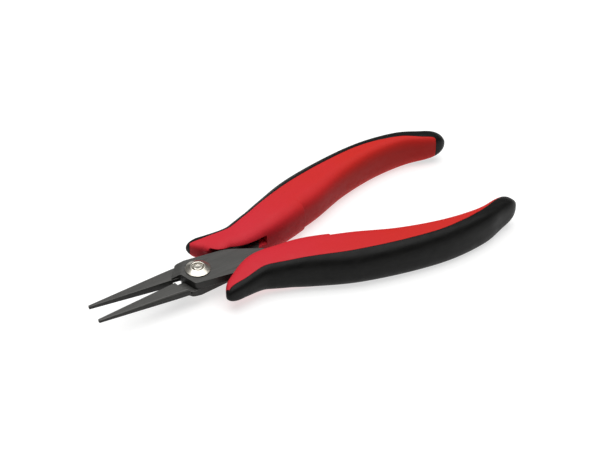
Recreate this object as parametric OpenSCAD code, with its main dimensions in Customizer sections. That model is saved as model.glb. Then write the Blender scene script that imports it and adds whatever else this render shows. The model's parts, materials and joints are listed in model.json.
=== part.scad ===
// Flat nose pliers: two lapped steel halves on one rivet, held open by a leaf spring in each handle,
// with a red grip core and a black overmoulded cover on each handle.
// +X points from the jaws to the handles, +Y to one side and +Z up. The pliers lie on z = 0, and the
// origin is under the middle of the whole tool. Each half is drawn closed, with its jaw on +Y, its
// joint plate just above the lap and its handle on -Y, and is then turned open by half the opening.

/* [Joint] */
// Angle between the two jaws as the springs hold them, in degrees
opening = 10.12; // [6:0.02:12]
// Thickness of each joint plate
plate_t = 3; // [2.5:0.1:3.2]
// Play between the two lapped plates
lap_gap = 0.02; // [0.02:0.01:0.06]
// Radius around the rivet that each half's jaw keeps clear for the other one's plate
swing_r = 9.4; // [8.6:0.1:9.8]

/* [Jaws] */
// Distance from the rivet to the jaw tips
nose_len = 40; // [34:1:46]
// Width of one jaw at its tip
tip_w = 1.1; // [0.9:0.1:2]
// Height of one jaw at its tip
tip_h = 1.2; // [1:0.1:2.4]
// Height of one jaw from its root to the taper
root_h = 3; // [2.6:0.1:3.2]
// Width that the jaw gains over each millimetre of its length
jaw_taper = 0.155; // [0.13:0.005:0.165]
// Bevel along the jaw's outer edges
jaw_bevel = 0.55; // [0.3:0.05:0.7]
// How much the joint plate slopes down towards its jaw
shoulder_drop = 0.85; // [0.4:0.05:1.2]

/* [Rivet] */
// Radius of the rivet's shank
rivet_r = 2.6; // [2:0.1:3]
// Radial running play between the shank and the upper plate
rivet_play = 0.03; // [0.02:0.01:0.08]
// Radius of the conical heads
head_r = 4.5; // [4:0.1:5]
// Height of the conical heads
head_h = 1.35; // [1:0.05:1.8]

/* [Handles] */
// Half of the grips' height in their flat stretch, and so the rivet's height above the table
grip_half_h = 7.25; // [7:0.05:7.4]
// Squareness of the grip's section: 2 is an ellipse
grip_square = 3; // [2.6:0.05:3.4]
// Height of the shoulder where the inner wall's boss ends
boss_h = 0.8; // [0.3:0.1:1]
// Thickness of the leaf springs
leaf_t = 0.5; // [0.4:0.05:0.6]
// Width of the leaf springs
leaf_w = 2.2; // [1.8:0.1:2.6]

/* [Hidden] */
$fn = 96;
EPS = 0.01;

half_opening = opening / 2;
origin_to_rivet = 39.4;   // from the middle of the open tool's length forward to the rivet
shoulder_turn = 31;       // angle of the shoulder's slope across the jaw
shoulder_from = 5.65;     // from the rivet to the top of the slope
shoulder_to = 8.57;       // from the rivet to its foot, where the plate steps down to the jaw
taper_x = -12;            // where the jaw starts to get lower
slot_h = plate_t + 0.25;  // height of the slot that the other half's tail swings into

// The grip as a loft. Each station is its centre's x and distance out from the tool's middle line,
// its half width, its half height, and where the seam between red and black lies across it,
// from -1 at the inner wall to 1 at the outer wall.
grip_stations = [
    [4.5, 15.25, 2, 2.9, -0.3],
    [11, 11.15, 4.25, 3.8, 0.37],
    [20, 7.35, 6.4, 5.5, 0.52],
    [29, 8.05, 7.45, 6.5, 0.59],
    [38, 9.75, 8.4, 7.35, 0.6],
    [53, 14, 9, 7.4, 0.5],
    [70, 18, 7.25, 7.35, 0.37],
    [87, 19.7, 5.65, 7.35, 0.26],
    [102, 18.35, 4.35, 6.8, 0],
    [112, 14.75, 3.8, 5.7, -0.85],
    [120.1, 11.8, 4.8, 5.1, -0.95]];
nose_cap = 0.07;    // part of the loft that rounds off the front
end_cap = 0.12;     // part of the loft that rounds off the rear
boss_at = 0.455;    // where the inner wall's boss ends
nose_fill = 2;      // how much fuller the inner wall is beside the front of the slot
fill_from = 0.08;   // where that fullness starts
fill_to = 0.17;     // and where it ends
core_from = 0.02;   // where the red core starts
core_to = 0.945;    // where the red core ends and the cover closes over its end
ring_n = 22;        // points around each half of a section

// Joint plate and tang, closed, seen from above: corner x, corner y, corner radius
plate_corners = [
    [-6.36, 6.1, 0], [-9.94, 0.05, 0], [-6.6, 0.05, 1.2], [-3.6, -6.7, 1.3],
    [11, -7.2, 10], [20, -10.2, 14], [32, -11, 20], [50, -15.5, 40], [68, -19.8, 40],
    [84, -21, 1.2], [84, -18, 1.2], [68, -16.4, 40], [50, -11.8, 30], [36, -6.8, 12],
    [29, -4.5, 3], [25, 0.8, 0.8], [13, 6, 14], [-5.6, 6.5, 3]];
// Slot for the other half's tail, with its floor on the outer side
slot_corners = [[3, 3], [29.7, 3], [29.7, -4.5], [13, -6.75], [3, -6.75]];
// Leaf spring's centre line, from its moulded-in root to its free end
leaf_line = [[32, -5], [28.5, -4.15], [20, -3.9], [13.6, -4.25]];

// ---- helpers ----------------------------------------------------------------------------------

// One outline point list from corners with radii
function corner_arc(a, b, c, r) =
    let (u = unit(a - b), v = unit(c - b), half = acos(max(-1, min(1, u * v))) / 2)
    r == 0 ? [b] :
    let (
        reach = r / tan(half),
        mid = b + unit(u + v) * r / sin(half),
        from = b + u * reach,
        to = b + v * reach,
        a0 = atan2(from[1] - mid[1], from[0] - mid[0]),
        a1 = atan2(to[1] - mid[1], to[0] - mid[0]),
        sweep = turn(a1 - a0),
        n = max(2, ceil(abs(sweep) / 5)))
    [for (i = [0 : n]) mid + r * [cos(a0 + sweep * i / n), sin(a0 + sweep * i / n)]];
function unit(v) = v / norm(v);
function turn(a) = a > 180 ? a - 360 : a < -180 ? a + 360 : a;
function xy(p) = [p[0], p[1]];
function rounded(corners) =
    let (n = len(corners))
    [for (i = [0 : n - 1]) each corner_arc(xy(corners[(i + n - 1) % n]), xy(corners[i]),
                                           xy(corners[(i + 1) % n]), corners[i][2])];

// Smooth curve through a list's rows, for t from 0 to 1
function row(list, i) =
    let (n = len(list) - 1)
    i < 0 ? 2 * list[0] - list[1] : i > n ? 2 * list[n] - list[n - 1] : list[i];
function spline(list, t) =
    let (
        s = max(0, min(len(list) - 1 - 1e-6, t * (len(list) - 1))),
        i = floor(s), u = s - i,
        a = row(list, i - 1), b = row(list, i), c = row(list, i + 1), d = row(list, i + 2))
    0.5 * (2 * b + (c - a) * u + (2 * a - 5 * b + 4 * c - d) * u * u
           + (3 * b - a - 3 * c + d) * u * u * u);

// Grip section at t: how much the rounded ends leave of it
function end_dip(t, power) =
    let (a = max(0, 1 - t / nose_cap), b = max(0, 1 - (1 - t) / end_cap))
    sqrt(max(0, 1 - pow(a, power))) * sqrt(max(0, 1 - pow(b, power)));
function boss_step(t) = t < boss_at ? 0 : boss_h * exp(-14 * (t - boss_at));
function nose_fullness(t) =
    nose_fill * max(0, 4 * (t - fill_from) * (fill_to - t) / pow(fill_to - fill_from, 2));
function section(t) =
    let (
        s = spline(grip_stations, t),
        ahead = spline(grip_stations, t + 1e-3) - spline(grip_stations, t - 1e-3),
        along = unit([ahead[0], ahead[1]]),
        narrow = end_dip(t, 2), low = end_dip(t, 2.6))
    [[s[0], s[1]], [-along[1], along[0]], s[2] * narrow, (s[2] - boss_step(t)) * narrow,
     s[3] * low, t > core_to ? -0.97 : s[4], nose_fullness(t)];
// Point of a section at angle a, where 0 is its outer wall and 180 its inner wall
function signed_pow(v, e) = sign(v) * pow(abs(v), e);
function section_point(sec, a) =
    let (
        c = signed_pow(cos(a), 2 / grip_square),
        fill = sec[6] * max(0, min(1, -3 * sin(a))),
        across = c * (c > 0 ? sec[2] : sec[3] + fill),
        up = sec[4] * signed_pow(sin(a), 2 / grip_square),
        flat_up = max(-grip_half_h, min(grip_half_h, up)),
        p = sec[0] + across * sec[1])
    [p[0], -p[1], flat_up];
function seam_angle(sec) = acos(signed_pow(sec[5], grip_square / 2));
// Ring of points on the outer (black) or the inner (red) side of the seam
function half_ring(sec, outer) =
    let (a = seam_angle(sec))
    [for (i = [0 : ring_n]) section_point(sec, outer ? 2 * a * i / ring_n - a
                                                     : a + (360 - 2 * a) * i / ring_n)];
function steps(from, to, n) = [for (i = [0 : n - 1]) from + (to - from) * i / (n - 1)];

// Closed solid through a row of rings with the same number of points
module loft(rings) {
    n = len(rings[0]);
    last = (len(rings) - 1) * n;
    polyhedron(
        points = [for (r = rings) each r],
        faces = concat(
            [for (i = [1 : n - 2]) [0, i + 1, i]],
            [for (i = [1 : n - 2]) [last, last + i, last + i + 1]],
            [for (k = [0 : len(rings) - 2], i = [0 : n - 1]) each
                let (a = k * n + i, b = k * n + (i + 1) % n)
                [[a, b, b + n], [a, b + n, a + n]]]),
        convexity = 6);
}

// Places of the two halves
module on_table() { translate([-origin_to_rivet, 0, grip_half_h]) children(); }
module upper_side() { on_table() rotate([0, 0, -half_opening]) children(); }
module lower_side() { on_table() rotate([180, 0, 0]) rotate([0, 0, -half_opening]) children(); }

// ---- steel ------------------------------------------------------------------------------------

// Jaw: flat inside, narrower and lower towards the tip, with both outer edges bevelled
function jaw_width(x) = tip_w + jaw_taper * (x + nose_len);
function jaw_ring(x, height) =
    let (w = jaw_width(x), h = height / 2, b = jaw_bevel * min(1, w / 2.6))
    [[x, 0, h], [x, w - b, h], [x, w, h - b], [x, w, b - h], [x, w - b, -h], [x, 0, -h]];
module jaw() {
    loft([jaw_ring(-nose_len, tip_h), jaw_ring(taper_x, root_h), jaw_ring(-5, root_h)]);
}

// Slope on top of the joint plate, from the flat round the rivet down to its foot at the jaw
module shoulder() {
    top = plate_t + lap_gap / 2;
    fall = shoulder_drop / (shoulder_to - shoulder_from);
    reach = [shoulder_from - 1, shoulder_to + 4];
    rotate([0, 0, 180 - shoulder_turn]) rotate([90, 0, 0]) linear_extrude(30, center = true)
        polygon([for (x = reach) [x, top - fall * (x - shoulder_from)],
                 [reach[1], top + 1], [reach[0], top + 1]]);
}

module half_plate() {
    difference() {
        union() {
            difference() {
                translate([0, 0, lap_gap / 2]) linear_extrude(plate_t)
                    polygon(rounded(plate_corners));
                shoulder();
            }
            difference() {
                jaw();
                translate([0, 0, -plate_t]) cylinder(r = swing_r, h = plate_t + lap_gap / 2);
                translate([-6.8, -1, -plate_t]) cube([5, 10, 2 * plate_t]);
            }
        }
        children();
    }
}
module rivet_hole(play) { cylinder(r = rivet_r + play, h = 4 * plate_t, center = true); }

module upper_half() { color("#5d5e5a") upper_side() half_plate() rivet_hole(rivet_play); }
module lower_half() { color("#5d5e5a") lower_side() half_plate() rivet_hole(0); }

// ---- rivet ------------------------------------------------------------------------------------

head_z = plate_t + lap_gap / 2;   // underside of a head
neck_r = 2.05;                    // the rivet's neck inside the collar
button_z = head_z + head_h - 0.1; // top of the peened button

module pivot_rivet() {
    color("#d8d2c2") on_table() rotate_extrude() polygon([
        [0, -button_z], [1.9, -button_z], [2.1, 0.15 - button_z], [2.15, 0.3 - button_z],
        [2.45, -head_z - head_h], [head_r - 0.1, -head_z - 0.45], [head_r, -head_z - 0.35],
        [head_r, -head_z - 0.1], [head_r - 0.15, -head_z], [rivet_r, -head_z],
        [rivet_r, head_z], [neck_r, head_z], [neck_r, button_z - 0.2],
        [1.8, button_z], [0.7, button_z + 0.05], [0.5, button_z - 0.15], [0, button_z - 0.2]]);
}
module rivet_collar() {
    color("#d8d2c2") on_table() rotate_extrude() polygon([
        [neck_r, head_z + 0.03], [head_r - 0.15, head_z + 0.03], [head_r, head_z + 0.12],
        [head_r, head_z + 0.35], [head_r - 0.1, head_z + 0.45], [2.5, head_z + head_h],
        [2.35, head_z + head_h], [neck_r, head_z + head_h - 0.3]]);
}

// ---- springs ----------------------------------------------------------------------------------

module leaf() {
    n = 24;
    line = [for (i = [0 : n]) spline(leaf_line, i / n)];
    side = [for (i = [0 : n])
        let (d = unit(spline(leaf_line, i / n + 0.01) - spline(leaf_line, i / n - 0.01)))
        [-d[1], d[0]] * leaf_t / 2];
    translate([0, 0, -plate_t / 2 - leaf_w / 2]) linear_extrude(leaf_w)
        polygon(concat([for (i = [0 : n]) line[i] + side[i]],
                       [for (i = [n : -1 : 0]) line[i] - side[i]]));
}
module upper_leaf_spring() { color("#9a9a94") upper_side() leaf(); }
module lower_leaf_spring() { color("#9a9a94") lower_side() leaf(); }

// ---- grips ------------------------------------------------------------------------------------

module grip_core() {
    stations = concat(steps(core_from, 0.12, 9), steps(0.14, boss_at - EPS / 10, 18),
                      steps(boss_at + EPS / 10, 0.9, 22), steps(0.91, core_to, 4));
    difference() {
        loft([for (t = stations) half_ring(section(t), false)]);
        translate([0, 0, lap_gap / 2]) linear_extrude(plate_t) polygon(rounded(plate_corners));
        translate([0, 0, -slot_h]) linear_extrude(slot_h + lap_gap / 2 + EPS) polygon(slot_corners);
        leaf();
    }
}
module grip_cover() {
    stations = concat([0.0015, 0.004], steps(0.008, 0.12, 12), steps(0.14, 0.9, 36),
                      steps(0.91, core_to, 4), steps(core_to + EPS / 10, 0.99, 9), [0.995, 0.9985]);
    loft([for (t = stations) half_ring(section(t), true)]);
}
module upper_grip_core() { color("#d23a3c") upper_side() grip_core(); }
module lower_grip_core() { color("#d23a3c") lower_side() grip_core(); }
module upper_grip_cover() { color("#20211d") upper_side() grip_cover(); }
module lower_grip_cover() { color("#20211d") lower_side() grip_cover(); }

upper_half();
lower_half();
pivot_rivet();
rivet_collar();
upper_leaf_spring();
lower_leaf_spring();
upper_grip_core();
lower_grip_core();
upper_grip_cover();
lower_grip_cover();
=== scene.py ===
"""Flat nose pliers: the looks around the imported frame.

The grips, rivet and springs are drawn in millimetres about the rivet, on one closed half: its jaw is on
+Y, its handle on -Y and its joint plate just above z = 0. place() sets them on the table, in metres.
"""

import json
from math import cos, pi, radians, sin

import bmesh
import bpy
import numpy as np
from mathutils import Matrix, Vector

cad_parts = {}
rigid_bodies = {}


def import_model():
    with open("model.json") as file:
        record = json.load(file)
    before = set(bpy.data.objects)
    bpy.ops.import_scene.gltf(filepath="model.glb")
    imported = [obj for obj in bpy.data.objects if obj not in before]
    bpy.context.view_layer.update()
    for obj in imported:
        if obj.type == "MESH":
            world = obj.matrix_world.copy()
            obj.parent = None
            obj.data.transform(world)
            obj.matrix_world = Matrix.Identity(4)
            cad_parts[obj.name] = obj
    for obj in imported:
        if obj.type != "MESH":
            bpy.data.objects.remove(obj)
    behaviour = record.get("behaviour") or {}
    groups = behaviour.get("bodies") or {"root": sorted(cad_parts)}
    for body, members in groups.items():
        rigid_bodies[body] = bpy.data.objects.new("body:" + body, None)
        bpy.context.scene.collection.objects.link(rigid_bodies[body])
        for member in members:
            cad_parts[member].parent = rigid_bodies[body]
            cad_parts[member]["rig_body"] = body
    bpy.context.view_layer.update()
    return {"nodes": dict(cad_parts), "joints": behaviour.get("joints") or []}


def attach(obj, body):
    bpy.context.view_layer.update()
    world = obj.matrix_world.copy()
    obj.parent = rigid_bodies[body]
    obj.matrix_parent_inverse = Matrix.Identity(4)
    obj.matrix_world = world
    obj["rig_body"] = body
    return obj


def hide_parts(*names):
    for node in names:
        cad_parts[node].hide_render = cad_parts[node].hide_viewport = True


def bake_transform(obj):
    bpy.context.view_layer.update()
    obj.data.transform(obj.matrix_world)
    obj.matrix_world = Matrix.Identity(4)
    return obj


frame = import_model()

MM = 0.001
HALF_OPENING = radians(5.06)
RIVET = Vector(frame["joints"][0]["pos_m"])
SIDES = {"upper": Matrix.Identity(4), "lower": Matrix.Rotation(pi, 4, "X")}


def place(side):
    """From one closed half, in millimetres about the rivet, to its place on the table."""
    turn = SIDES[side] @ Matrix.Rotation(-HALF_OPENING, 4, "Z")
    return Matrix.Translation(RIVET) @ turn @ Matrix.Scale(MM, 4)


# ---- curves -----------------------------------------------------------------------------------

def spline(rows, t):
    """Smooth curve through the rows, for t from 0 to 1."""
    rows = np.asarray(rows, float)
    last = len(rows) - 1
    s = np.clip(t * last, 0, last - 1e-9)
    i = np.floor(s).astype(int)
    u = (s - i)[:, None]
    ends = np.vstack([2 * rows[0] - rows[1], rows, 2 * rows[-1] - rows[-2]])
    a, b, c, d = (ends[i + k] for k in range(4))
    return 0.5 * (2 * b + (c - a) * u + (2 * a - 5 * b + 4 * c - d) * u ** 2
                  + (3 * b - a - 3 * c + d) * u ** 3)


def smoothstep(v):
    v = np.clip(v, 0, 1)
    return v * v * (3 - 2 * v)


def signed_pow(v, power):
    return np.sign(v) * np.abs(v) ** power


def round_over(distance, radius):
    """How far a rounded edge lies under the flat surface at this distance from the edge."""
    return radius - np.sqrt(radius ** 2 - (radius - np.clip(distance, 0, radius)) ** 2)


def fillet(corners, steps=5):
    """Outline through the corners, each (a, b, radius), with the corners rounded."""
    points = []
    for k, (a, b, radius) in enumerate(corners):
        here = Vector((a, b))
        if radius == 0:
            points.append(here)
            continue
        before = (Vector(corners[k - 1][:2]) - here).normalized()
        after = (Vector(corners[(k + 1) % len(corners)][:2]) - here).normalized()
        start, end = here + before * radius, here + after * radius
        for i in range(steps + 1):
            u = i / steps
            points.append(start * (1 - u) ** 2 + here * 2 * u * (1 - u) + end * u ** 2)
    return points


# ---- meshes -----------------------------------------------------------------------------------

def make_object(name, mesh_data, matrix, sharp_angle=35):
    """Object from a bmesh, with its doubles merged and its edges sharp beyond the angle."""
    bmesh.ops.remove_doubles(mesh_data, verts=mesh_data.verts, dist=2e-4)
    bmesh.ops.dissolve_degenerate(mesh_data, edges=mesh_data.edges, dist=1e-5)
    bmesh.ops.recalc_face_normals(mesh_data, faces=mesh_data.faces)
    mesh = bpy.data.meshes.new(name)
    mesh_data.to_mesh(mesh)
    mesh_data.free()
    mesh.transform(matrix)
    mesh.shade_smooth()
    mesh.set_sharp_from_angle(angle=radians(sharp_angle))
    obj = bpy.data.objects.new(name, mesh)
    bpy.context.scene.collection.objects.link(obj)
    return obj


def loft(rings, capped=True):
    """Closed skin through rings of points, each ring a closed loop. The first and last are filled."""
    bm = bmesh.new()
    loops = [[bm.verts.new(p) for p in ring] for ring in rings]
    n = len(loops[0])
    for one, other in zip(loops, loops[1:]):
        for i in range(n):
            j = (i + 1) % n
            bm.faces.new((one[i], one[j], other[j], other[i]))
    if capped:
        bm.faces.new(loops[0][::-1])
        bm.faces.new(loops[-1])
    return bm


def lathe(outline, segments=144):
    """Turned solid from an outline of (radius, height) points that starts and ends on the axis."""
    bm = bmesh.new()
    axis_ends = [bm.verts.new((0, 0, outline[0][1])), bm.verts.new((0, 0, outline[-1][1]))]
    loops = []
    for radius, height in outline[1:-1]:
        turns = [2 * pi * k / segments for k in range(segments)]
        loops.append([bm.verts.new((radius * cos(a), radius * sin(a), height)) for a in turns])
    for one, other in zip(loops, loops[1:]):
        for i in range(segments):
            j = (i + 1) % segments
            bm.faces.new((one[i], one[j], other[j], other[i]))
    for pole, loop in zip(axis_ends, (loops[0], loops[-1])):
        for i in range(segments):
            bm.faces.new((pole, loop[i], loop[(i + 1) % segments]))
    return bm


def turned_ring(outline, segments=144):
    """Turned ring from a closed outline of (radius, height) points that stays off the axis."""
    turns = [2 * pi * k / segments for k in range(segments)]
    rings = [[(r * cos(a), r * sin(a), h) for r, h in outline] for a in turns]
    bm = loft(rings + rings[:1], capped=False)
    return bm


# ---- grips ------------------------------------------------------------------------------------

# Each station is its centre's x and distance out from the tool's middle line, its half width, its
# half height, and where the seam between red and black lies across it, from -1 inside to 1 outside.
# The last four seam places differ from the CAD's, so that the black band keeps its width to the end.
STATIONS = [
    (4.5, 15.25, 2, 2.9, -0.3),
    (11, 11.15, 4.25, 3.8, 0.37),
    (20, 7.35, 6.4, 5.5, 0.52),
    (29, 8.05, 7.45, 6.5, 0.59),
    (38, 9.75, 8.4, 7.35, 0.6),
    (53, 14, 9, 7.4, 0.5),
    (70, 18, 7.25, 7.35, 0.37),
    (87, 19.7, 5.65, 7.35, 0.23),
    (102, 18.35, 4.35, 6.8, -0.15),
    (112, 14.75, 3.8, 5.7, -0.5),
    (120.1, 11.8, 4.8, 5.1, -0.66)]
HALF_HEIGHT = RIVET.z / MM
SQUARENESS = 3                       # 2 is an ellipse
NOSE_CAP, END_CAP = 0.07, 0.12       # parts of the length that the two ends round off
CORE_FROM, CORE_TO = 0.02, 0.945     # where the red core starts and ends
BOSS_AT, BOSS_HEIGHT = 0.455, 0.8    # where the inner wall steps back, and by how much
BOSS_STEP = 0.0035                   # part of the length that the step takes
BOSS_FADE = 14                       # how fast the wall comes out again behind the step
SEAM_CORNER = 1.0                    # radius of the seam's corner at the core's end
EDGE = 0.13                          # radius of the fine edges along the seam
LIP = 0.2                            # radius of the slot's lips
SLOT_END = 0.2952                    # part of the length where the slot ends
SLOT_TOP, SLOT_BOTTOM = 0.02, -3.25  # heights of the slot's two sides
SLOT_FLOOR = [(3, 6.75), (13, 6.75), (29.7, 4.5)]   # x and distance out
NOSE_FILL = 2                        # how much fuller the inner wall is beside the slot's front
FILL_FROM, FILL_TO = 0.08, 0.17      # where that starts and ends
FILL_BLEND = 3                       # how soon below the middle it is full
FLAT_KNEE = 18                       # how sharply the skin bends to its flat top and bottom
SEAM_LIMIT = 0.97                    # the seam stays this far within the section's width


def end_dip(t, power):
    front = np.clip(1 - t / NOSE_CAP, 0, 1)
    rear = np.clip(1 - (1 - t) / END_CAP, 0, 1)
    return np.sqrt(1 - front ** power) * np.sqrt(1 - rear ** power)


def sections(t):
    """The grip's sections at every t: centre, outward normal, half widths and height, and seam."""
    row = spline(STATIONS, t)
    along = spline(STATIONS, t + 1e-3)[:, :2] - spline(STATIONS, t - 1e-3)[:, :2]
    along /= np.linalg.norm(along, axis=1)[:, None]
    normal = np.column_stack([-along[:, 1], along[:, 0]])
    narrow, low = end_dip(t, 2), end_dip(t, 2.6)
    fill = NOSE_FILL * np.clip(4 * (t - FILL_FROM) * (FILL_TO - t) / (FILL_TO - FILL_FROM) ** 2, 0, 1)
    behind = np.clip(t - BOSS_AT, 0, 1)
    boss = BOSS_HEIGHT * np.exp(-BOSS_FADE * behind) * smoothstep(behind / BOSS_STEP)
    to_end = np.clip((spline(STATIONS, np.array([CORE_TO]))[0, 0] - row[:, 0]) / SEAM_CORNER, 0, 1)
    corner = SEAM_CORNER * round_over(to_end, 1) / row[:, 2]
    return {
        "centre": row[:, :2], "normal": normal, "outer": row[:, 2] * narrow,
        "inner": (row[:, 2] - boss) * narrow, "height": row[:, 3] * low, "fill": fill,
        "seam": np.clip(row[:, 4] - corner, -SEAM_LIMIT, SEAM_LIMIT)}


def flattened(up):
    """Softly limits a height to the flat top and bottom."""
    low = np.log1p(np.exp(-FLAT_KNEE * np.abs(np.abs(up) - HALF_HEIGHT))) / FLAT_KNEE
    return np.sign(up) * (np.minimum(np.abs(up), HALF_HEIGHT) - low)


def skin(sec, angle):
    """Points of the sections at these angles, as (across, up): 0 is the outer wall, pi the inner."""
    c = signed_pow(np.cos(angle), 2 / SQUARENESS)
    inner = sec["inner"][:, None] + sec["fill"][:, None] * np.clip(-FILL_BLEND * np.sin(angle), 0, 1)
    across = c * np.where(c > 0, sec["outer"][:, None], inner)
    up = sec["height"][:, None] * signed_pow(np.sin(angle), 2 / SQUARENESS)
    return np.stack([across, flattened(up)], axis=-1)


def sunk(points, depth, angle, sec):
    """Moves section points inwards, square to the section, by the depth at each."""
    slope = np.stack([np.cos(angle) / np.maximum(sec["outer"], 0.1)[:, None],
                      np.sin(angle) / np.maximum(sec["height"], 0.1)[:, None]], axis=-1)
    slope /= np.linalg.norm(slope, axis=-1, keepdims=True)
    room = 0.4 * np.minimum(sec["outer"], sec["height"])[:, None]
    return points - slope * np.minimum(depth, room)[..., None]


def spaced(low, high, count):
    """Angles from low to high for each ring, with a few close to both ends for the fine edges."""
    fine = np.array([0, 0.12, 0.3, 0.55, 1]) * 0.045
    u = np.concatenate([fine, np.linspace(fine[-1], 1 - fine[-1], count)[1:-1], 1 - fine[::-1]])
    return low[:, None] + (high - low)[:, None] * u


def from_first(points):
    """Distance along each ring's points from its first one."""
    step = np.linalg.norm(np.diff(points, axis=1), axis=-1)
    return np.concatenate([np.zeros((len(points), 1)), np.cumsum(step, axis=1)], axis=1)


def in_space(sec, points):
    """Section points (across, up) as points of the closed half."""
    flat = sec["centre"][:, None] + points[..., :1] * sec["normal"][:, None]
    return np.stack([flat[..., 0], -flat[..., 1], points[..., 1]], axis=-1)


def ring_places():
    """Where the rings stand. A place where the skin changes has two rings: False before, True after."""
    turn = np.sin(np.linspace(0, pi / 2, 22))
    near = np.array([0, 0.05, 0.15, 0.35, 0.7, 1.2]) * 0.0016
    fine = np.concatenate([CORE_TO - near, CORE_TO + near, BOSS_AT + np.linspace(0, BOSS_STEP, 7)])
    plain = np.concatenate([NOSE_CAP * (1 - turn), np.linspace(NOSE_CAP, 1 - END_CAP, 132),
                            1 - END_CAP * (1 - turn), CORE_FROM + near, CORE_FROM - near, fine])
    doubled = [CORE_FROM, SLOT_END, CORE_TO]
    kept = sorted(set(np.round(plain, 6)) - set(doubled))
    both = [(t, False) for t in kept + doubled] + [(t, True) for t in doubled]
    both.sort()
    return np.array([t for t, _ in both]), np.array([after for _, after in both])


def slot_floor(sec):
    """How far across each section the slot's floor lies."""
    x, out = np.array(SLOT_FLOOR, float).T
    across = np.zeros(len(sec["outer"]))
    for _ in range(12):
        at = sec["centre"][:, 0] + across * sec["normal"][:, 0]
        across = (np.interp(at, x, out) - sec["centre"][:, 1]) / sec["normal"][:, 1]
    return across


def inner_angle(sec, up):
    """Angle at which each section's inner wall reaches this height."""
    share = np.clip(np.abs(up) / np.maximum(sec["height"], 0.01), 0, 0.98)
    return pi - np.sign(up) * np.arcsin(share ** (SQUARENESS / 2))


def core_mesh():
    """Red core: the inner side of the grip from seam to seam, with the slot in its inner wall."""
    t, after = ring_places()
    within = ((t > CORE_FROM) | (t == CORE_FROM) & after) & ((t < CORE_TO) | (t == CORE_TO) & ~after)
    t, after = t[within], after[within]
    sec = sections(t)
    is_open = (t < SLOT_END) | (t == SLOT_END) & ~after
    seam = np.arccos(signed_pow(sec["seam"], SQUARENESS / 2))
    top, bottom = inner_angle(sec, SLOT_TOP), inner_angle(sec, SLOT_BOTTOM)
    floor = slot_floor(sec)
    lips = skin(sec, np.stack([top, bottom], axis=1))[..., 0].max(axis=1)
    is_cut = is_open & (floor > lips + 0.05)
    to_end = np.minimum(np.abs(spline(STATIONS, np.array([CORE_TO]))[0, 0] - sec["centre"][:, 0]),
                        np.abs(spline(STATIONS, np.array([CORE_FROM]))[0, 0] - sec["centre"][:, 0]))
    parts = []
    for low, high, count, lip_first in ((seam, top, 30, False), (bottom, 2 * pi - seam, 24, True)):
        angle = spaced(low, high, count)
        points = skin(sec, angle)
        first = from_first(points)
        last = first[:, -1:] - first
        to_seam, to_lip = (last, first) if lip_first else (first, last)
        depth = round_over(np.minimum(to_seam, to_end[:, None]), EDGE)
        depth = np.maximum(depth, np.where(is_cut[:, None], round_over(to_lip, LIP), 0))
        parts.append(sunk(points, depth, angle, sec))
    upper, lower = parts
    share = np.array([1, 2, 3, 4, 5]) / 6
    wall_angle = top[:, None] + (bottom - top)[:, None] * share
    wall = sunk(skin(sec, wall_angle), round_over(to_end, EDGE)[:, None], wall_angle, sec)
    wall[is_open, :, 0] = np.maximum(wall[is_open, :, 0], floor[is_open, None])
    deep = np.maximum(floor, np.maximum(upper[:, -1, 0], lower[:, 0, 0]))
    high = np.stack([deep, np.full(len(t), SLOT_TOP)], axis=-1)
    low = np.stack([deep, np.full(len(t), SLOT_BOTTOM)], axis=-1)
    cut = np.stack([(upper[:, -1] + high) / 2, high, (high + low) / 2, low, (low + lower[:, 0]) / 2], 1)
    middle = np.where(is_cut[:, None, None], cut, wall)
    rings = in_space(sec, np.concatenate([upper, middle, lower], axis=1))
    return loft(rings.tolist())


def cover_mesh():
    """Black cover: the outer side of the grip, closed over both ends of the core."""
    t, after = ring_places()
    sec = sections(t)
    covered = (t < CORE_FROM) | (t > CORE_TO) | (t == CORE_FROM) & ~after | (t == CORE_TO) & after
    seam = np.arccos(signed_pow(sec["seam"], SQUARENESS / 2))
    ends = spline(STATIONS, np.array([CORE_FROM, CORE_TO]))[:, 0]
    to_end = np.min(np.abs(sec["centre"][:, :1] - ends), axis=1)
    beyond = np.where(covered, to_end, 0)[:, None]
    angle = spaced(-seam, seam, 44)
    points = skin(sec, angle)
    first = from_first(points)
    to_seam = np.minimum(first, first[:, -1:] - first)
    outside = sunk(points, round_over(np.hypot(to_seam, beyond), EDGE), angle, sec)
    share = np.linspace(0, 1, 34)[1:-1]
    angle = seam[:, None] + (2 * pi - 2 * seam)[:, None] * share
    closed = sunk(skin(sec, angle), round_over(beyond, EDGE) + 0 * angle, angle, sec)
    chord = outside[:, -1:] * (1 - share)[:, None] + outside[:, :1] * share[:, None]
    inside = np.where(covered[:, None, None], closed, chord)
    rings = in_space(sec, np.concatenate([outside, inside], axis=1))
    return loft(rings.tolist(), capped=False)


# ---- materials --------------------------------------------------------------------------------

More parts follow.
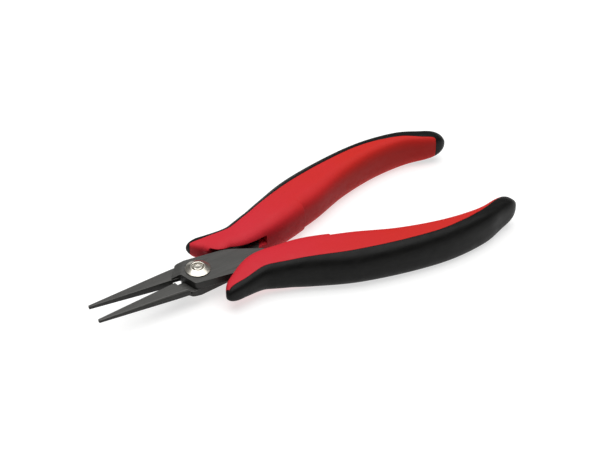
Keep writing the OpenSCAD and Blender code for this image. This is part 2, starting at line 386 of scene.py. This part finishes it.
class Nodes:
    """Short names for building one material's node tree."""

    def __init__(self, name, **shader):
        self.material = bpy.data.materials.new(name)
        self.material.use_nodes = True
        self.tree = self.material.node_tree
        self.shader = self.tree.nodes["Principled BSDF"]
        for socket, value in shader.items():
            self.shader.inputs[socket.replace("_", " ")].default_value = value
        self.place = self.tree.nodes.new("ShaderNodeTexCoord")

    def node(self, kind, inputs=(), **settings):
        made = self.tree.nodes.new("ShaderNode" + kind)
        for key, value in settings.items():
            setattr(made, key, value)
        for key, value in dict(inputs).items():
            self.feed(made.inputs[key], value)
        return made

    def feed(self, socket, value):
        if isinstance(value, bpy.types.NodeSocket):
            self.tree.links.new(value, socket)
        else:
            socket.default_value = value

    def coords(self, scale=(1, 1, 1), turn=(0, 0, 0)):
        return self.node("Mapping", {
            "Vector": self.place.outputs["Object"], "Scale": scale, "Rotation": turn}).outputs[0]

    def noise(self, scale, detail=3, vector=None, roughness=0.55):
        where = vector if vector is not None else self.place.outputs["Object"]
        return self.node("TexNoise", {
            "Vector": where, "Scale": scale, "Detail": detail, "Roughness": roughness}).outputs[0]

    def spread(self, value, low, high, from_low=0.3, from_high=0.7):
        return self.node("MapRange", {
            "Value": value, "From Min": from_low, "From Max": from_high,
            "To Min": low, "To Max": high}).outputs[0]

    def colours(self, value, low, high, from_low=0.3, from_high=0.7):
        ramp = self.node("ValToRGB", {"Fac": value})
        for stop, at, colour in zip(ramp.color_ramp.elements, (from_low, from_high), (low, high)):
            stop.position = at
            stop.color = (*colour, 1)
        return ramp.outputs[0]

    def mix(self, share, one, other, blend="MIX"):
        return self.node("Mix", {"Factor": share, 6: one, 7: other},
                         data_type="RGBA", blend_type=blend).outputs[2]

    def maths(self, kind, one, other=0.0):
        return self.node("Math", {0: one, 1: other}, operation=kind).outputs[0]

    def levelness(self):
        """1 where the piece's own surface faces straight up or down, 0 where it stands upright."""
        parts = self.node("SeparateXYZ", {0: self.place.outputs["Normal"]})
        return self.maths("ABSOLUTE", parts.outputs["Z"])

    def bump(self, height, strength, distance, under=None):
        made = self.node("Bump", {"Height": height, "Strength": strength, "Distance": distance})
        if under is not None:
            self.feed(made.inputs["Normal"], under)
        return made.outputs[0]

    def finish(self, **sockets):
        for socket, value in sockets.items():
            self.feed(self.shader.inputs[socket.replace("_", " ")], value)
        return self.material


def red_plastic():
    """Matt moulded plastic with a fine spark-eroded grain, a touch pinker towards the joint; its
    upright walls are darkened with painted shade.
    """
    n = Nodes("red_core", Specular_IOR_Level=0.1)
    cloud = n.noise(55, 4)
    grain = n.noise(5200, 2)
    along = n.node("SeparateXYZ", {0: n.place.outputs["Object"]}).outputs["X"]
    along = n.maths("ADD", along, n.spread(cloud, -0.008, 0.008))
    rear = n.spread(along, 0.0, 1.0, -0.02, 0.035)
    tint = n.mix(rear, (0.60, 0.026, 0.040, 1), (0.58, 0.024, 0.019, 1))
    # Painted shade: surfaces that stand upright are darkened to 0.58 of the colour, level ones keep it.
    up = n.levelness()
    upright_shade = n.spread(up, 0.58, 1.0, 0.05, 0.85)
    shade = n.node("CombineColor", {0: upright_shade, 1: upright_shade, 2: upright_shade}).outputs[0]
    tint = n.mix(1.0, tint, shade, "MULTIPLY")
    speck = n.colours(grain, (0.93, 0.9, 0.9), (1, 1, 1))
    return n.finish(
        Base_Color=n.mix(1.0, tint, speck, "MULTIPLY"),
        Roughness=n.spread(n.noise(420, 4), 0.46, 0.62),
        Normal=n.bump(grain, 0.25, 0.00005, n.bump(cloud, 0.12, 0.0004)))


def black_rubber():
    """Soft black overmoulding with a satin skin, faint scuffs and dust in its grain."""
    n = Nodes("black_cover", Specular_IOR_Level=0.12)
    grain = n.noise(4300, 2)
    scuffs = n.noise(900, 5, n.coords((0.25, 1, 1)))
    tint = n.colours(scuffs, (0.005, 0.005, 0.0048), (0.009, 0.009, 0.0085), 0.35, 0.75)
    return n.finish(
        Base_Color=tint,
        Roughness=n.spread(n.noise(260, 5), 0.38, 0.52),
        Normal=n.bump(grain, 0.2, 0.00004))


def blackened_steel():
    """Ground and blackened steel: slanting grinding lines on the flats, upright faces much darker with
    painted shade, bare wear along the edges.
    """
    n = Nodes("blackened_steel", Metallic=0.35, Specular_IOR_Level=0.3)
    lines = n.noise(1500, 3, n.coords((0.06, 1, 0.5), (0, 0, radians(52))), 0.7)
    fine = n.noise(3800, 2, n.coords((0.1, 1, 0.6), (0, 0, radians(49))))
    blotch = n.noise(160, 4)
    up = n.levelness()
    # Painted shade: upright faces take a far darker colour than the level ones.
    flat = n.spread(up, 0.0, 1.0, 0.55, 0.98)
    ground = n.colours(lines, (0.060, 0.060, 0.057), (0.090, 0.089, 0.085), 0.25, 0.75)
    painted_side_shade = n.colours(blotch, (0.009, 0.009, 0.0085), (0.019, 0.019, 0.0175))
    base = n.mix(flat, painted_side_shade, ground)
    base = n.mix(n.spread(blotch, 0.0, 0.22), base, (0.075, 0.073, 0.068, 1))
    edge = n.maths("MINIMUM", n.spread(up, 0.0, 0.2, 0.2, 0.6), n.spread(up, 0.2, 0.0, 0.8, 0.97))
    worn = n.maths("MULTIPLY", edge, n.spread(n.noise(260, 4), 0.4, 1.0))
    base = n.mix(worn, base, (0.3, 0.295, 0.28, 1))
    rough = n.spread(lines, 0.34, 0.5)
    return n.finish(
        Base_Color=base, Roughness=rough,
        Normal=n.bump(fine, 0.12, 0.00003, n.bump(lines, 0.22, 0.00005)))


def turned_nickel():
    """Nickel plate over turned steel: rings about the axis, with soft stains in the plating."""
    n = Nodes("nickel_plate", Metallic=1.0)
    rings = n.node("TexWave", {
        "Vector": n.place.outputs["Object"], "Scale": 1400.0, "Distortion": 0.8, "Detail": 2.0,
        "Detail Scale": 2.0}, wave_type="RINGS", rings_direction="Z").outputs["Fac"]
    stain = n.noise(650, 5)
    tint = n.colours(stain, (0.46, 0.435, 0.38), (0.66, 0.63, 0.56), 0.3, 0.65)
    return n.finish(
        Base_Color=tint,
        Roughness=n.spread(stain, 0.38, 0.28),
        Normal=n.bump(rings, 0.06, 0.00001, n.bump(n.noise(900, 3), 0.05, 0.00003)))


def spring_steel():
    """Rolled spring steel with fine lines along its length."""
    n = Nodes("spring_steel", Metallic=0.9)
    lines = n.noise(2200, 3, n.coords((0.05, 1, 1)))
    tint = n.colours(lines, (0.26, 0.26, 0.25), (0.5, 0.5, 0.48))
    return n.finish(
        Base_Color=tint,
        Roughness=n.spread(lines, 0.28, 0.42),
        Normal=n.bump(lines, 0.2, 0.00003))


MATERIALS = {
    "red_core": red_plastic(),
    "black_cover": black_rubber(),
    "blackened_steel": blackened_steel(),
    "nickel_plate": turned_nickel(),
    "spring_steel": spring_steel()}


def dress(obj, slot):
    obj.data.materials.clear()
    obj.data.materials.append(MATERIALS[slot])


# ---- pieces -----------------------------------------------------------------------------------

def stand_for(obj, node, slot):
    """The piece takes a CAD node's place, its body and its finish."""
    body = frame["nodes"][node]["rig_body"]
    dress(obj, slot)
    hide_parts(node)
    return body


def add_grips():
    shapes = {"core": (core_mesh, "red_core"), "cover": (cover_mesh, "black_cover")}
    for side in SIDES:
        for part, (shape, slot) in shapes.items():
            obj = make_object(f"{side}_grip_{part}_skin", shape(), place(side))
            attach(obj, stand_for(obj, f"{side}_grip_{part}", slot))


def add_steel():
    """The CAD halves, with their edges broken and their flats clean."""
    for side in SIDES:
        half = frame["nodes"][f"{side}_half"]
        dress(half, "blackened_steel")
        with bpy.context.temp_override(object=half, active_object=half):
            bpy.ops.mesh.customdata_custom_splitnormals_clear()
        half.data.shade_smooth()
        weld = half.modifiers.new("weld", "WELD")
        weld.merge_threshold = 0.001 * MM
        flats = half.modifiers.new("flats", "DECIMATE")
        flats.decimate_type = "DISSOLVE"
        flats.angle_limit = radians(0.4)
        bevel = half.modifiers.new("broken_edges", "BEVEL")
        bevel.width = 0.16 * MM
        bevel.segments = 3
        bevel.limit_method = "ANGLE"
        bevel.angle_limit = radians(24)
        bevel.use_clamp_overlap = False
        shading = half.modifiers.new("flat_shading", "WEIGHTED_NORMAL")
        shading.keep_sharp = False


HEAD_FROM = 3.01       # underside of a rivet head
HEAD_RADIUS = 4.5
HEAD_HEIGHT = 1.35
SHANK_RADIUS = 2.6
NECK_RADIUS = 2.05     # the rivet's top end, which the collar is pressed on


def add_rivet():
    rim, top = HEAD_FROM + 0.35, HEAD_FROM + HEAD_HEIGHT
    button = top - 0.1
    rivet = [
        (0, -button, 0), (1.95, -button, 0.12), (2.15, -button + 0.3, 0.1), (2.45, -top, 0.08),
        (HEAD_RADIUS - 0.02, -rim, 0.12), (HEAD_RADIUS - 0.02, -HEAD_FROM, 0.1),
        (SHANK_RADIUS, -HEAD_FROM, 0), (SHANK_RADIUS, HEAD_FROM, 0), (NECK_RADIUS, HEAD_FROM, 0),
        (NECK_RADIUS, top - 0.55, 0), (1.85, top - 0.6, 0.05), (1.72, button - 0.12, 0.08),
        (1.5, button, 0.12), (0.8, button - 0.01, 0.15), (0.5, button - 0.06, 0.1),
        (0, button - 0.06, 0)]
    collar = [
        (NECK_RADIUS + 0.01, HEAD_FROM + 0.03, 0), (HEAD_RADIUS - 0.45, HEAD_FROM + 0.03, 0.05),
        (HEAD_RADIUS - 0.02, HEAD_FROM + 0.22, 0.05), (HEAD_RADIUS - 0.02, rim + 0.02, 0.06),
        (2.6, top - 0.04, 0.1), (2.35, top, 0.08), (NECK_RADIUS + 0.08, top - 0.08, 0.06),
        (NECK_RADIUS + 0.01, top - 0.5, 0.03)]
    shapes = {"pivot_rivet": lathe(fillet(rivet)), "rivet_collar": turned_ring(fillet(collar))}
    for node, shape in shapes.items():
        obj = make_object(node + "_turned", shape, Matrix.Scale(MM, 4), 50)
        obj.location = RIVET
        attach(obj, stand_for(obj, node, "nickel_plate"))


LEAF_LINE = [(32, -5), (28.5, -4.15), (20, -3.9), (13.6, -4.25)]
LEAF_THICKNESS, LEAF_WIDTH, LEAF_EDGE = 0.5, 2.2, 0.12
LEAF_LEVEL = -1.5


def add_leaf_springs():
    t = np.linspace(0, 1, 60)
    line = spline(LEAF_LINE, t)
    along = spline(LEAF_LINE, t + 0.005) - spline(LEAF_LINE, t - 0.005)
    along /= np.linalg.norm(along, axis=1)[:, None]
    half_t, half_w = LEAF_THICKNESS / 2, LEAF_WIDTH / 2
    corners = [(half_t, half_w), (-half_t, half_w), (-half_t, -half_w), (half_t, -half_w)]
    section = fillet([(a, b, LEAF_EDGE) for a, b in corners])
    rings = []
    for (x, y), (dx, dy) in zip(line, along):
        rings.append([(x - dy * a, y + dx * a, LEAF_LEVEL + b) for a, b in section])
    for side in SIDES:
        obj = make_object(f"{side}_leaf_spring_strip", loft(rings), place(side))
        body = stand_for(obj, f"{side}_leaf_spring", "spring_steel")
        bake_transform(obj)


add_grips()
add_steel()
add_rivet()
add_leaf_springs()


# ---- studio -----------------------------------------------------------------------------------

AIM = Vector((5.3, 6.3, 7.25)) * MM
AZIMUTH, ELEVATION = radians(-30.5), radians(38.63)
DISTANCE = 0.5884


def add_floor():
    bm = bmesh.new()
    bmesh.ops.create_grid(bm, x_segments=1, y_segments=1, size=4)
    floor = make_object("floor", bm, Matrix.Identity(4))
    n = Nodes("back_lit_card", Roughness=0.9, Specular_IOR_Level=0.0, Emission_Strength=0.66)
    tint = n.colours(n.noise(30, 3), (0.46, 0.46, 0.455), (0.48, 0.48, 0.475))
    glow = n.colours(n.noise(20, 2), (0.98, 0.98, 0.98), (1, 1, 1))
    floor.data.materials.append(n.finish(Base_Color=tint, Emission_Color=glow))


def add_softbox(name, azimuth, elevation, distance, size, power):
    light = bpy.data.lights.new(name, "AREA")
    light.shape = "DISK"
    light.size = size
    light.energy = power
    obj = bpy.data.objects.new(name, light)
    bpy.context.scene.collection.objects.link(obj)
    a, e = radians(azimuth), radians(elevation)
    toward = Vector((sin(a) * cos(e), -cos(a) * cos(e), sin(e)))
    obj.location = AIM + toward * distance
    obj.rotation_euler = toward.to_track_quat("Z", "Y").to_euler()


def add_sky():
    world = bpy.data.worlds.new("studio")
    world.use_nodes = True
    world.node_tree.nodes["Background"].inputs["Color"].default_value = (1, 1, 1, 1)
    world.node_tree.nodes["Background"].inputs["Strength"].default_value = 0.1
    bpy.context.scene.world = world


def add_camera():
    camera = bpy.data.cameras.new("camera")
    camera.lens = 97.9
    camera.sensor_width = 36
    camera.clip_start = 0.01
    obj = bpy.data.objects.new("camera", camera)
    bpy.context.scene.collection.objects.link(obj)
    back = Vector((sin(AZIMUTH) * cos(ELEVATION), -cos(AZIMUTH) * cos(ELEVATION), sin(ELEVATION)))
    obj.location = AIM + back * DISTANCE
    obj.rotation_euler = back.to_track_quat("Z", "Y").to_euler()
    bpy.context.scene.camera = obj


add_floor()
add_softbox("key", azimuth=150, elevation=84, distance=1.3, size=1.8, power=26)
add_sky()
add_camera()
bpy.context.scene.view_settings.view_transform = "Standard"
